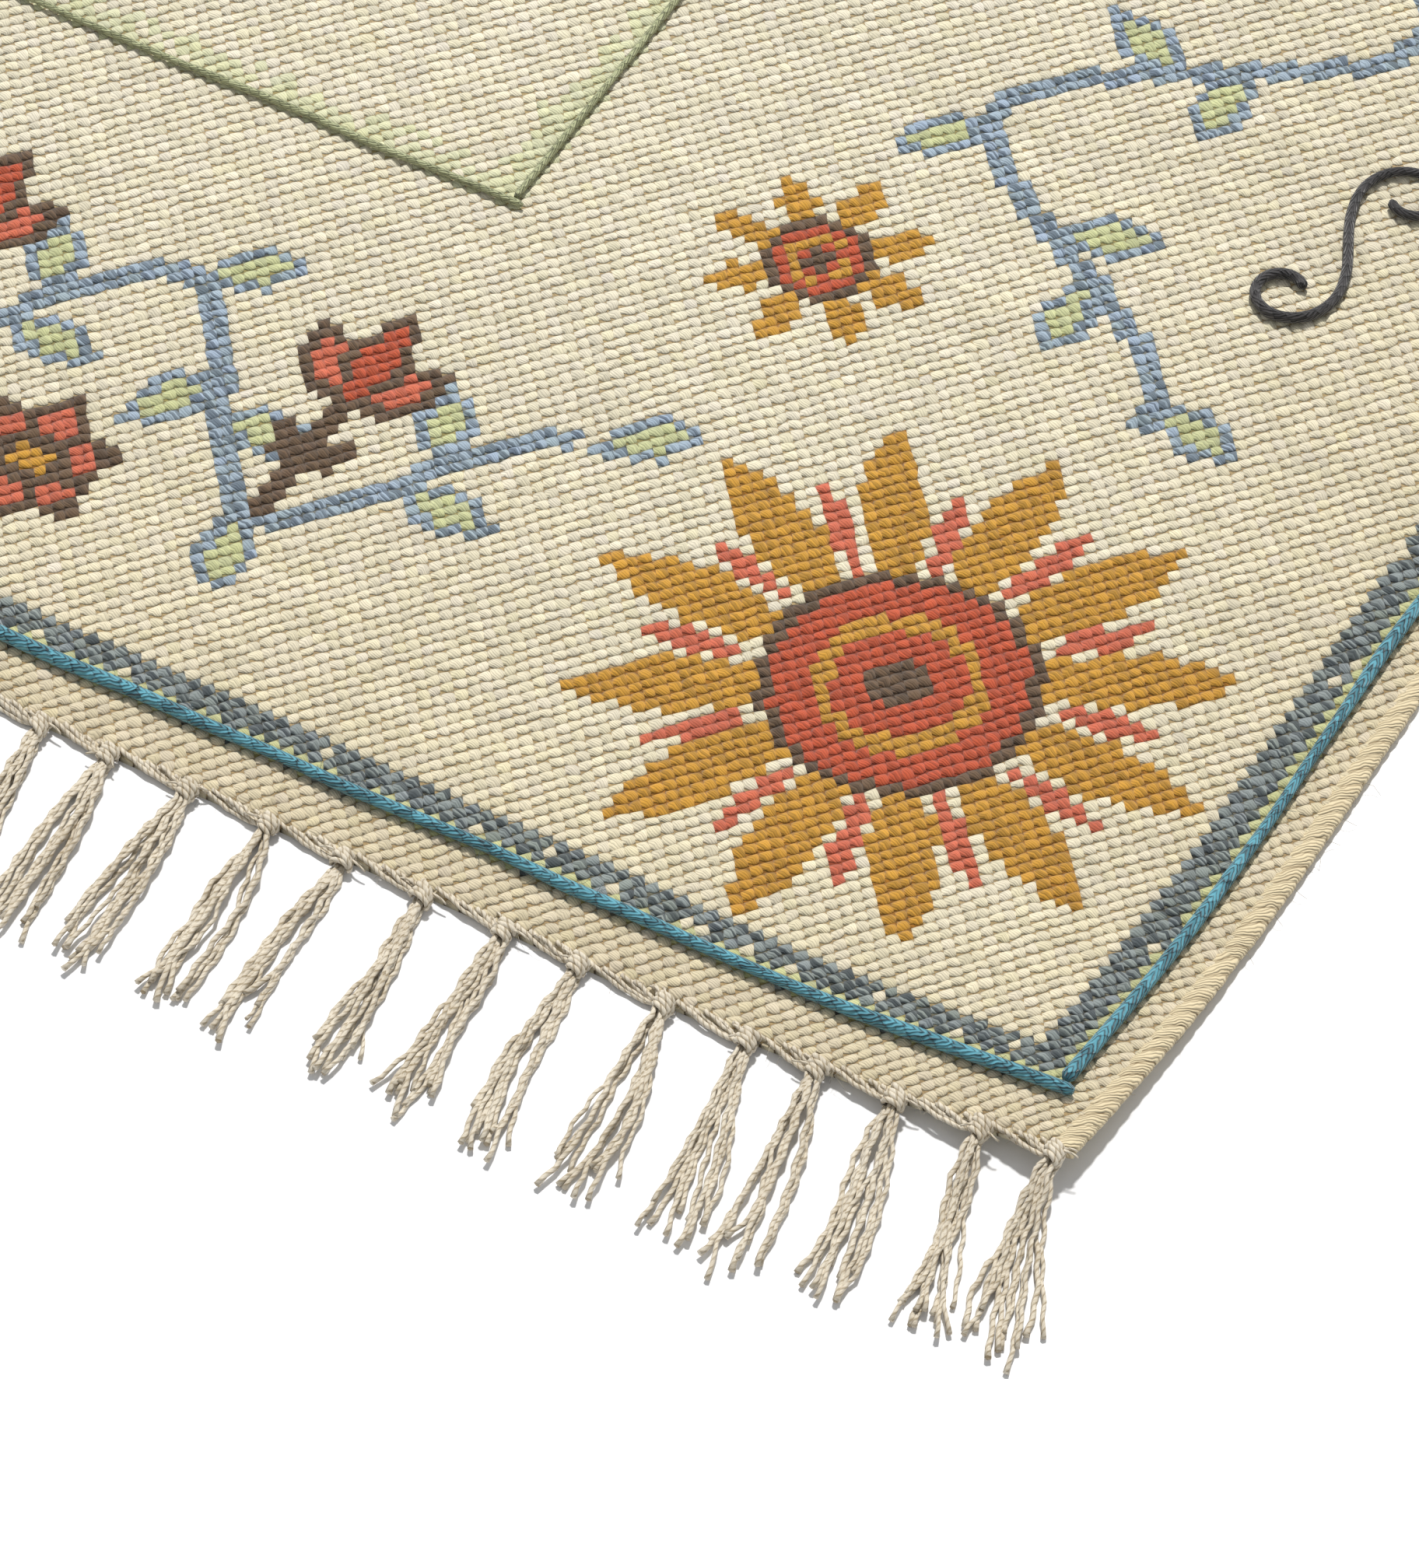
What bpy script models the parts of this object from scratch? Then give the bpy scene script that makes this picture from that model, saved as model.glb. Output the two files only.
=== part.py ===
"""A flat-woven cotton rug with a knotted fringe at both ends and yarn cords laid on its face.

Metres, +Z up. The rug lies on the floor at z = 0 with its length along Y and its width along X.
The origin is under the middle of the rug. Sizes of cloth are flat sizes: settle() then says where a
point of the flat cloth lies on the rug as it rests, with its lifted corner and uneven edges.
"""

import math

import bmesh
import bpy
from mathutils import Vector

MM = 0.001

# The cloth
WIDTH = 1200 * MM
LENGTH = 1800 * MM
THICKNESS = 4.5 * MM
EDGE_ROUNDING = 1.9 * MM
CELLS_ACROSS = 20
CELLS_ALONG = 30

# Corners as they lie: the side of the rug, how far each is drawn in along X and Y, how far it
# lifts off the floor, and how far from the corner that reaches.
CORNERS = (
    # side x, side y, drawn in x, drawn in y, lift, reach
    (+1, -1, 11.0 * MM, 8.0 * MM, 7.0 * MM, 170 * MM),
    (-1, -1, 2.0 * MM, 1.5 * MM, 2.5 * MM, 150 * MM),
    (+1, +1, 3.0 * MM, 2.0 * MM, 4.0 * MM, 160 * MM),
    (-1, +1, 1.5 * MM, 3.0 * MM, 5.5 * MM, 170 * MM),
)
SIDE_WAVE = 1.3 * MM
SIDE_WAVE_LENGTH = 520 * MM
END_WAVE = 0.9 * MM
END_WAVE_LENGTH = 430 * MM

# Cords laid on the face: the distance of the middle line from the cloth's side and end edges
CORD_CLEARANCE = 0.5 * MM
CORD_SIDES_RESOLUTION = 2
CORD_STEP = 45 * MM
BORDER_RADIUS = 1.8 * MM
BORDER_FROM_SIDE = 18.5 * MM
BORDER_FROM_END = 22.0 * MM
BORDER_OVERRUN = 6.0 * MM
PANEL_RADIUS = 1.2 * MM
PANEL_FROM_SIDE = 367 * MM
PANEL_FROM_END = 270 * MM
PANEL_OVERRUN = 4.0 * MM

# Double-curled scrolls of black cord, one towards each corner
SCROLL_RADIUS = 1.5 * MM
SCROLL_FROM_SIDE = 112 * MM
SCROLL_FROM_END = 393 * MM
SCROLL_TURN = math.radians(62)
SCROLL_HALF_LENGTH = 88 * MM
SCROLL_END_BEND = 7.0 * MM
SCROLL_POINTS = 22

# Fringe: a corded heading beside each end of the cloth, with tassels of three locks
TASSELS = 42
TASSEL_FROM_SIDE = 6.0 * MM
TASSEL_SHIFT = 2.2 * MM
HEADING_GAP = 0.5 * MM
HEADING_DEPTH = 4.0 * MM
HEADING_HEIGHT = 3.2 * MM
HEADING_ABOVE_UNDERSIDE = 0.6 * MM
KNOT_WIDTH = 6.6 * MM
KNOT_BULGE = 8.4 * MM
KNOT_HEIGHT = 5.0 * MM
KNOT_LENGTH = 3.4 * MM
NECK_WIDTH = 5.4 * MM
NECK_HEIGHT = 3.6 * MM
NECK_LENGTH = 2.6 * MM
LOCKS = (-1, 0, 1)
LOCK_REACH = 62 * MM
LOCK_REACH_CHANGE = 5.0 * MM
LOCK_REACH_PER_LIFT = 0.75
LOCK_SPREAD = 7.6 * MM
LOCK_WIDTH = 4.4 * MM
LOCK_HEIGHT = 2.0 * MM
# How far the tassels' ends lie to the right of their knots, seen from outside that end
TASSEL_LEAN = 11.0 * MM
TASSEL_LEAN_WAVE = 6.0 * MM
TASSEL_LEAN_WAVE_LENGTH = 560 * MM
TASSEL_LEAN_CHANGE = 2.6 * MM
# Along a lock: the share of its reach, of its sideways spread, of its drop, and of its full width
LOCK_SECTIONS = (
    # reach, spread, drop, width
    (0.13, 0.14, 0.28, 0.50),
    (0.46, 0.44, 1.00, 0.94),
    (1.00, 1.00, 1.00, 0.90),
)

CREAM = (0.79, 0.71, 0.54, 1.0)
FRINGE_WHITE = (0.86, 0.81, 0.70, 1.0)
TEAL = (0.055, 0.25, 0.33, 1.0)
PALE_GREEN = (0.52, 0.60, 0.38, 1.0)
BLACK = (0.035, 0.03, 0.03, 1.0)


def clear_scene():
    for obj in list(bpy.data.objects):
        bpy.data.objects.remove(obj)


def matte(name, colour):
    """A rough, non-metallic yarn material."""
    material = bpy.data.materials.new(name)
    material.use_nodes = True
    shader = material.node_tree.nodes["Principled BSDF"]
    shader.inputs["Base Color"].default_value = colour
    shader.inputs["Roughness"].default_value = 0.92
    shader.inputs["Metallic"].default_value = 0.0
    return material


def varied(index, kind):
    """A fixed value from -1 to 1 for each index and kind of unevenness."""
    wave = math.sin(index * 12.9898 + kind * 78.233) * 43758.5453
    return 2.0 * (wave - math.floor(wave)) - 1.0


def fade(distance, reach):
    """1 at no distance, falling smoothly to 0 at the reach."""
    return max(0.0, 1.0 - distance / reach) ** 2


def settle(x, y):
    """The place on the resting rug of a point of the flat cloth: x, y and the underside's height."""
    near_side = min(1.0, abs(2.0 * x / WIDTH)) ** 8
    near_end = min(1.0, abs(2.0 * y / LENGTH)) ** 12
    moved_x = x + SIDE_WAVE * near_side * math.sin(math.tau * y / SIDE_WAVE_LENGTH + 0.6)
    moved_y = y + END_WAVE * near_end * math.sin(math.tau * x / END_WAVE_LENGTH + 2.1)
    height = 0.0
    for side_x, side_y, in_x, in_y, lift, reach in CORNERS:
        from_corner = math.hypot(x - side_x * WIDTH / 2, y - side_y * LENGTH / 2)
        share = fade(from_corner, reach)
        moved_x -= side_x * in_x * share
        moved_y -= side_y * in_y * share
        height += lift * share
    return moved_x, moved_y, height


def add_object(name, data, material, collection):
    obj = bpy.data.objects.new(name, data)
    collection.objects.link(obj)
    obj.data.materials.append(material)
    return obj


def graded(share):
    """Spreads grid lines so that they lie closer together towards the cloth's edges."""
    return math.sin(math.pi / 2 * share)


def build_cloth(material, collection):
    """The woven cloth: one flat sheet with rounded edges, lifted a little at its corners."""
    bpy.ops.mesh.primitive_grid_add(
        x_subdivisions=CELLS_ACROSS, y_subdivisions=CELLS_ALONG, size=2.0
    )
    cloth = bpy.context.active_object
    cloth.name = "rug_cloth"
    for home in list(cloth.users_collection):
        home.objects.unlink(cloth)
    collection.objects.link(cloth)
    for vertex in cloth.data.vertices:
        flat_x = graded(vertex.co.x) * WIDTH / 2
        flat_y = graded(vertex.co.y) * LENGTH / 2
        vertex.co = settle(flat_x, flat_y)
    cloth.data.materials.append(material)
    body = cloth.modifiers.new("body", "SOLIDIFY")
    body.thickness = THICKNESS
    body.offset = 1.0
    edge = cloth.modifiers.new("edge", "BEVEL")
    edge.width = EDGE_ROUNDING
    edge.segments = 2
    edge.limit_method = "ANGLE"
    edge.angle_limit = math.radians(60)
    cloth.data.shade_smooth()
    return cloth


def on_face(x, y, radius):
    """The middle of a cord of that radius where it lies on the cloth's face."""
    moved_x, moved_y, height = settle(x, y)
    return Vector((moved_x, moved_y, height + THICKNESS + CORD_CLEARANCE + radius))


def build_cord(name, flat_points, radius, material, collection):
    """A round cord laid on the face along the given points of the flat cloth."""
    curve = bpy.data.curves.new(name, "CURVE")
    curve.dimensions = "3D"
    curve.bevel_depth = radius
    curve.bevel_resolution = CORD_SIDES_RESOLUTION
    curve.use_fill_caps = True
    spline = curve.splines.new("POLY")
    spline.points.add(len(flat_points) - 1)
    for point, (x, y) in zip(spline.points, flat_points):
        point.co = (*on_face(x, y, radius), 1.0)
    return add_object(name, curve, material, collection)


def run_points(start, end):
    """Evenly stepped points of the flat cloth on a straight run."""
    length = math.dist(start, end)
    steps = max(2, round(length / CORD_STEP))
    return [
        tuple(a + (b - a) * i / steps for a, b in zip(start, end)) for i in range(steps + 1)
    ]


def build_frame(prefix, from_side, from_end, radius, overrun, material, collection):
    """Four straight cord runs round a rectangle: the end runs pass the corners, the side runs
    stop beside them."""
    half_x = WIDTH / 2 - from_side
    half_y = LENGTH / 2 - from_end
    stop = half_y - 2 * radius - CORD_CLEARANCE
    runs = (
        ("front", (-half_x - overrun, -half_y), (half_x + overrun, -half_y)),
        ("back", (half_x + overrun, half_y), (-half_x - overrun, half_y)),
        ("right", (half_x, -stop), (half_x, stop)),
        ("left", (-half_x, stop), (-half_x, -stop)),
    )
    for label, start, end in runs:
        build_cord(f"{prefix}_{label}", run_points(start, end), radius, material, collection)


def scroll_shape():
    """A double curl about its own middle: a line whose bend grows evenly towards both ends."""
    growth = 1.0 / (SCROLL_END_BEND * SCROLL_HALF_LENGTH)
    step = SCROLL_HALF_LENGTH / SCROLL_POINTS
    arm = [Vector((0.0, 0.0))]
    for i in range(SCROLL_POINTS):
        along = (i + 0.5) * step
        heading = growth * along * along / 2
        arm.append(arm[-1] + Vector((math.cos(heading), math.sin(heading))) * step)
    return [-point for point in reversed(arm[1:])] + arm


def build_scrolls(material, collection):
    """One scroll towards each corner, each the mirror image of its neighbours."""
    number = 0
    cosine, sine = math.cos(SCROLL_TURN), math.sin(SCROLL_TURN)
    for side_x in (-1, 1):
        for side_y in (-1, 1):
            number += 1
            points = []
            for point in scroll_shape():
                across = cosine * point.x - sine * point.y + SCROLL_FROM_SIDE
                along = sine * point.x + cosine * point.y + SCROLL_FROM_END
                points.append((side_x * (WIDTH / 2 - across), side_y * (LENGTH / 2 - along)))
            build_cord(f"scroll_cord_{number}", points, SCROLL_RADIUS, material, collection)


def tassel_places():
    """Where the tassels' middles stand along an end, from one side of the cloth to the other."""
    half = WIDTH / 2 - TASSEL_FROM_SIDE
    pitch = 2 * half / (TASSELS - 1)
    places = []
    for k in range(TASSELS):
        inner = 0 < k < TASSELS - 1
        places.append(-half + k * pitch + TASSEL_SHIFT * varied(k, 1) * inner)
    return places


def fringe_place(end, along, outward, rise):
    """A point beside the cloth's end edge. end is -1 at the front and +1 at the back, along runs
    rightwards seen from outside that end, and rise is above the underside there."""
    x, y, height = settle(-end * along, end * LENGTH / 2)
    return Vector((x, y + end * outward, height + rise))


def set_face(face, corners, low_near):
    """Moves a face's four points, which keep the order that low_near gives them, to corners."""
    for vertex, key in zip(face.verts, low_near):
        vertex.co = corners[key]


def grow(bm, face, order, corners):
    """Extrudes one face and moves its new end to the given corners."""
    made = bmesh.ops.extrude_discrete_faces(bm, faces=[face])["faces"][0]
    set_face(made, corners, order)
    return made


def section(end, middle, width, low, high):
    """Corners of an upright section that faces outward, by (side, level)."""
    return {
        (side, level): Vector(
            (middle.x - end * side * width / 2, middle.y, high if level > 0 else low)
        )
        for side in (-1, 1)
        for level in (-1, 1)
    }


def build_lock(bm, face, order, end, root, neck_middle, side, lean, reach):
    """One lock of a tassel, from its root in the knot down to the floor and along it."""
    for share_out, share_spread, share_drop, share_width in LOCK_SECTIONS:
        sideways = lean * share_out + side * LOCK_SPREAD * share_spread
        sideways += side * NECK_WIDTH / 3 * (1.0 - share_spread)
        middle = Vector(
            (neck_middle.x - end * sideways, neck_middle.y + end * reach * share_out, 0.0)
        )
        low = root * (1.0 - share_drop)
        width = LOCK_WIDTH * share_width
        face = grow(bm, face, order, section(end, middle, width, low, low + LOCK_HEIGHT))


def split_in_three(bm, face):
    """Cuts a section face by two upright lines and returns its three parts."""
    level_edges = [e for e in face.edges if abs(e.verts[0].co.z - e.verts[1].co.z) < 1e-6]
    before = set(bm.faces) - {face}
    bmesh.ops.subdivide_edges(bm, edges=level_edges, cuts=2, use_grid_fill=True)
    return [f for f in bm.faces if f not in before]


def corner_order(face, end):
    """(side, level) of each of a section face's points."""
    middle = face.calc_center_median()
    return [
        (1 if -end * (v.co.x - middle.x) > 0 else -1, 1 if v.co.z > middle.z else -1)
        for v in face.verts
    ]


def build_tassel(bm, face, end, index, along):
    """A knot, its neck and its locks, grown from the heading's outer face."""
    order = corner_order(face, end)
    rise = HEADING_ABOVE_UNDERSIDE + HEADING_HEIGHT / 2
    outer = HEADING_GAP + HEADING_DEPTH
    base = fringe_place(end, along, outer, rise)
    knot = base + Vector((0.0, end * KNOT_LENGTH * 0.55, 0.0))
    knot_low = max(0.0, knot.z - KNOT_HEIGHT / 2)
    corners = section(end, knot, KNOT_BULGE, knot_low, knot_low + KNOT_HEIGHT)
    face = grow(bm, face, order, corners)
    neck = base + Vector((0.0, end * (KNOT_LENGTH + NECK_LENGTH), -0.3 * MM))
    low = max(0.0, neck.z - NECK_HEIGHT / 2)
    face = grow(bm, face, order, section(end, neck, NECK_WIDTH, low, low + NECK_HEIGHT))
    lean = TASSEL_LEAN + TASSEL_LEAN_CHANGE * varied(index, 2)
    lean += TASSEL_LEAN_WAVE * math.cos(math.tau * (along - WIDTH / 2) / TASSEL_LEAN_WAVE_LENGTH)
    parts = split_in_three(bm, face)
    parts.sort(key=lambda f: -end * f.calc_center_median().x)
    for side, part in zip(LOCKS, parts):
        reach = LOCK_REACH + LOCK_REACH_CHANGE * varied(3 * index + side, 3)
        reach -= LOCK_REACH_PER_LIFT * low
        build_lock(bm, part, corner_order(part, end), end, low, neck, side, lean, reach)


def build_fringe(name, end, material, collection):
    """The corded heading beside one end of the cloth with its tassels, as one body."""
    bm = bmesh.new()
    bmesh.ops.create_cube(bm, size=1.0)
    bmesh.ops.scale(bm, verts=bm.verts, vec=(WIDTH, 1.0, 1.0))
    places = tassel_places()
    cuts = []
    for place in places:
        cuts += [place - KNOT_WIDTH / 2, place + KNOT_WIDTH / 2]
    for left, right in zip(places, places[1:]):
        cuts.append((left + right) / 2)
    for cut in cuts:
        if abs(cut) < WIDTH / 2 - 0.2 * MM:
            everything = [*bm.verts, *bm.edges, *bm.faces]
            bmesh.ops.bisect_plane(
                bm, geom=everything, plane_co=(cut, 0, 0), plane_no=(1, 0, 0), dist=1e-6
            )
    roots = []
    for index, place in enumerate(places):
        for face in bm.faces:
            middle = face.calc_center_median()
            if middle.y < -0.49 and abs(middle.x - place) < KNOT_WIDTH / 4:
                roots.append((face, index, place))
    for vertex in bm.verts:
        along, outward, level = vertex.co
        depth = HEADING_GAP + (HEADING_DEPTH if outward < 0 else 0.0)
        rise = HEADING_ABOVE_UNDERSIDE + (HEADING_HEIGHT if level > 0 else 0.0)
        vertex.co = fringe_place(end, along, depth, rise)
    if end > 0:
        bmesh.ops.recalc_face_normals(bm, faces=bm.faces)
    for face, index, place in roots:
        build_tassel(bm, face, end, index, place)
    bmesh.ops.recalc_face_normals(bm, faces=bm.faces)
    mesh = bpy.data.meshes.new(name)
    bm.to_mesh(mesh)
    bm.free()
    return add_object(name, mesh, material, collection)


def main():
    clear_scene()
    rug = bpy.data.collections.new("rug")
    bpy.context.scene.collection.children.link(rug)
    cream = matte("cream_cotton", CREAM)
    white = matte("fringe_cotton", FRINGE_WHITE)
    teal = matte("teal_yarn", TEAL)
    green = matte("pale_green_yarn", PALE_GREEN)
    black = matte("black_yarn", BLACK)

    build_cloth(cream, rug)
    build_fringe("fringe_front", -1, white, rug)
    build_fringe("fringe_back", 1, white, rug)
    build_frame(
        "border_cord", BORDER_FROM_SIDE, BORDER_FROM_END, BORDER_RADIUS, BORDER_OVERRUN, teal, rug
    )
    build_frame(
        "panel_cord", PANEL_FROM_SIDE, PANEL_FROM_END, PANEL_RADIUS, PANEL_OVERRUN, green, rug
    )
    build_scrolls(black, rug)


main()
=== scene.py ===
"""The looks of a flat-woven cotton rug: its woven face, overcast sides, laid cords and knotted fringe.

Every stitch of the weave is a small raised diamond of four triangles whose colour comes from a design
worked out at the stitch's middle. Metres, +Z up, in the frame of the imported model.
"""

import math

import bpy
import numpy as np
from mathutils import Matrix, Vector


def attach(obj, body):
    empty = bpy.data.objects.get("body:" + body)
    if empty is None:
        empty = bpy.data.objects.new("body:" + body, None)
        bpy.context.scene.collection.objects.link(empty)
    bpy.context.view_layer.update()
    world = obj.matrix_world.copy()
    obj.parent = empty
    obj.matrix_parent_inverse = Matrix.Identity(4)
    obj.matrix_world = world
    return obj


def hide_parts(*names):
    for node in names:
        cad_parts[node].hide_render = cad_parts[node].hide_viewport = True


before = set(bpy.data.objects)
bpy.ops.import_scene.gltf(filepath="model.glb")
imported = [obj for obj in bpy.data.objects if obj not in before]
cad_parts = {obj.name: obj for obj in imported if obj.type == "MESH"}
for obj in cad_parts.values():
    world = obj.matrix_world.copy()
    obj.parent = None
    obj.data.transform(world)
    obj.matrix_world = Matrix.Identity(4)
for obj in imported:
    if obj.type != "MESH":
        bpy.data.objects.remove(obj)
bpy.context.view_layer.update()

MM = 0.001
SEED = 7

# The cloth as it lies, as in the solids
WIDTH = 1200 * MM
LENGTH = 1800 * MM
THICKNESS = 4.5 * MM
CORNERS = (
    # side x, side y, drawn in x, drawn in y, lift, reach
    (+1, -1, 11.0 * MM, 8.0 * MM, 7.0 * MM, 170 * MM),
    (-1, -1, 2.0 * MM, 1.5 * MM, 2.5 * MM, 150 * MM),
    (+1, +1, 3.0 * MM, 2.0 * MM, 4.0 * MM, 160 * MM),
    (-1, +1, 1.5 * MM, 3.0 * MM, 5.5 * MM, 170 * MM),
)
SIDE_WAVE = 1.3 * MM
SIDE_WAVE_LENGTH = 520 * MM
END_WAVE = 0.9 * MM
END_WAVE_LENGTH = 430 * MM

# The weave: each stitch spans two columns and two rows of the lattice
COLUMNS = 434
ROWS = 546
STRIPS = 4
SIDE_MARGIN = 3.2 * MM
COLUMN = (WIDTH - 2 * SIDE_MARGIN) / COLUMNS
ROW = LENGTH / ROWS
PEAK = 0.42 * MM
VALLEY = -0.70 * MM
PEAK_CHANGE = 0.14 * MM
PLACE_CHANGE = 0.28 * MM
EDGE_HEIGHT = 1.8 * MM
# How fast a stitch's bulge falls off along and across its row and how far it turns, and the
# strands in it in millimetres
DOME_ALONG = 0.52
DOME_ACROSS = 0.86
DOME_TURN = 0.36
STRAND_PITCH = 0.92
STRAND_SLOPE = 0.28
STITCH_RISE = 1.15 * MM
UNDERSIDE_CELLS = (40, 60)
CORE_TOP = 3.2 * MM
CORE_INSET = 4.5 * MM

# Overcast sides
BEAD_HALF = (3.9 * MM, 2.5 * MM)
BEAD_RELIEF = 0.32 * MM
BEAD_WRAP = 6.6 * MM
BEAD_STRANDS = 4.0
BEAD_SIDES = 12
BEAD_STEP = 1.5 * MM
BEAD_SLANT = 0.55

# Laid cords: radius, distance from the side and from the end, overrun and step of the mesh
BORDER = dict(radius=2.15 * MM, side=18.5 * MM, end=22.0 * MM, over=5.0 * MM, step=2.0 * MM)
PANEL = dict(radius=1.25 * MM, side=367 * MM, end=270 * MM, over=4.0 * MM, step=1.8 * MM)
SCROLL = dict(radius=1.8 * MM, side=112 * MM, end=393 * MM, step=1.3 * MM)
SCROLL_TURN = math.radians(62)
SCROLL_HALF_LENGTH = 88 * MM
SCROLL_END_BEND = 7.0 * MM
CORD_SEAT = 0.15 * MM
CORD_WANDER = 0.5 * MM
WANDER_LENGTH = 26 * MM
CORD_SIDES = 10
NO_TWIST = 1e6

# Fringe
TASSELS = 42
TASSEL_FROM_SIDE = 6.0 * MM
TASSEL_SHIFT = 2.2 * MM
GATHERED = 5
GATHER_POINTS = 10
GATHER_SIDES = 5
GATHER_TWIST = 5 * MM
GATHER_RADIUS = 0.85 * MM
KNOT_OUT = 1.8 * MM
KNOT_TURNS = 4
KNOT_RADIUS = (3.3 * MM, 2.4 * MM)
KNOT_STRAND = 1.05 * MM
KNOT_POINTS = 9
KNOT_SIDES = 6
KNOT_TWIST = 6 * MM
TUFTS = 2
TUFT_LENGTH = 8.0 * MM
TUFT_RADIUS = 0.62 * MM
STRANDS = 12
CLUMPS = (-0.62, 0.04, 0.66)
STRAND_POINTS = 20
STRAND_SIDES = 5
STRAND_RADIUS = 0.88 * MM
STRAND_TWIST = 6.4 * MM
STRAND_REACH = 69 * MM
STRAND_REACH_CHANGE = 5.5 * MM
STRAND_SPREAD = 10.5 * MM
CRIMP = 0.70 * MM
CRIMP_LENGTH = 11.0 * MM
REACH_PER_LIFT = 0.75
TASSEL_LEAN = 11.0 * MM
TASSEL_LEAN_WAVE = 6.0 * MM
TASSEL_LEAN_WAVE_LENGTH = 560 * MM
TASSEL_LEAN_CHANGE = 2.6 * MM

# Stray fibres
HAIR_STEP = 4.6 * MM
HAIR_POINTS = 4
HAIR_SIDES = 3
HAIR_LENGTHS = (2.5 * MM, 7.5 * MM)
HAIR_RADIUS = 0.10 * MM
HAIR_LIFT = 1.4 * MM
HAIR_DROOP = 2.3 * MM
SIDE_HAIR_RISE = 3.2 * MM
END_HAIR_RISE = 3.6 * MM

# Yarn colours in the 0 to 255 units of a screen, and how much darker strands mottle each
YARNS = {
    "field": ((236, 228, 203), 0.12),
    "border": ((232, 222, 197), 0.10),
    "gold": ((208, 155, 58), 0.36),
    "red": ((200, 90, 58), 0.34),
    "coral": ((214, 112, 84), 0.25),
    "brown": ((112, 90, 70), 0.45),
    "blue": ((164, 182, 198), 0.72),
    "green": ((206, 210, 160), 0.22),
    "pale": ((222, 222, 184), 0.15),
    "slate": ((146, 157, 160), 0.88),
}
YARN_NAMES = list(YARNS)
# Painted shade: stitches darker and tanner towards the rug's edges, for the light's falloff
EDGE_SHADE = np.array((0.13, 0.17, 0.25))
EDGE_SHADE_REACH = 130 * MM

# The woven design, in millimetres from the nearest side (a) and the nearest end (b)
STRIPES = (
    # how far in from the side and from the end it goes, yarn, share of its stitches
    (34.5, 38.0, "slate", 0.96),
    (25.0, 28.5, "green", 0.88),
    (18.5, 22.0, "border", 1.0),
)
ROSETTES = (
    # a, b, radius, rays
    (150.0, 150.0, 112.0, 12),
    (264.0, 300.0, 42.0, 8),
    (262.0, 495.0, 42.0, 8),
    (262.0, 697.0, 42.0, 8),
    (262.0, 900.0, 42.0, 8),
)
PETALS = (
    # yarn, root and tip as shares of the radius, width as a share of the ray's room, turn in rays,
    # radius of the smallest rosette that has them
    ("gold", 0.30, 1.00, 0.40, 0.0, 0.0),
    ("coral", 0.42, 0.80, 0.15, 0.5, 60.0),
)
EYE_RINGS = (
    # yarn, share of the radius, extra in millimetres
    ("brown", 0.40, 2.0),
    ("red", 0.38, 0.0),
    ("gold", 0.25, 1.0),
    ("red", 0.20, 0.0),
    ("brown", 0.08, 1.5),
)
BLOSSOMS = (
    # a, b, radius
    (446.0, 92.0, 26.0),
    (600.0, 92.0, 26.0),
    (112.0, 596.0, 28.0),
    (112.0, 799.0, 28.0),
)
TULIPS = (
    # a, b of the foot, heading in degrees from the a direction, length
    (369.0, 114.0, 90.0, 94.0),
    (523.0, 114.0, 90.0, 94.0),
)
VINE_HALF_WIDTH = 4.3
END_VINE = dict(middle=148.0, swing=40.0, period=154.0, start=292.0, stop=600.0)
SIDE_VINE = dict(middle=190.0, swing=-55.0, period=202.67, start=284.0, stop=900.0)
LEAF_LENGTH = 39.0
LEAF_WIDTH = 20.0
OUTLINE = 5.2

# Camera and light
VIEW_AZIMUTH = math.radians(29.92)
VIEW_ELEVATION = math.radians(50.63)
VIEW_POINT = Vector((0.4163, -0.8144, 0.0))
VIEW_DISTANCE = 2.4866
LENS = 178.6
SENSOR_WIDTH = 36
SUN_FROM = Vector((-0.22, 0.53, 1.0))
SUN_STRENGTH = 3.25
SUN_ANGLE = math.radians(6)
SKY_STRENGTH = 0.40
FLOOR_SIZE = 14


def linear(colour):
    """A linear colour from 0 to 255 screen units."""
    shares = np.array(colour, float) / 255
    return np.where(shares <= 0.04045, shares / 12.92, ((shares + 0.055) / 1.055) ** 2.4)


def varied(index, kind):
    """A fixed value from -1 to 1 for each index and kind of unevenness."""
    wave = math.sin(index * 12.9898 + kind * 78.233) * 43758.5453
    return 2.0 * (wave - math.floor(wave)) - 1.0


def settle(x, y):
    """The place on the resting rug of points of the flat cloth: x, y and the underside's height."""
    near_side = np.minimum(1.0, abs(2.0 * x / WIDTH)) ** 8
    near_end = np.minimum(1.0, abs(2.0 * y / LENGTH)) ** 12
    moved_x = x + SIDE_WAVE * near_side * np.sin(math.tau * y / SIDE_WAVE_LENGTH + 0.6)
    moved_y = y + END_WAVE * near_end * np.sin(math.tau * x / END_WAVE_LENGTH + 2.1)
    height = 0.0 * x
    for side_x, side_y, in_x, in_y, lift, reach in CORNERS:
        from_corner = np.hypot(x - side_x * WIDTH / 2, y - side_y * LENGTH / 2)
        share = np.maximum(0.0, 1.0 - from_corner / reach) ** 2
        moved_x = moved_x - side_x * in_x * share
        moved_y = moved_y - side_y * in_y * share
        height = height + lift * share
    return moved_x, moved_y, height


# Meshes


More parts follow.
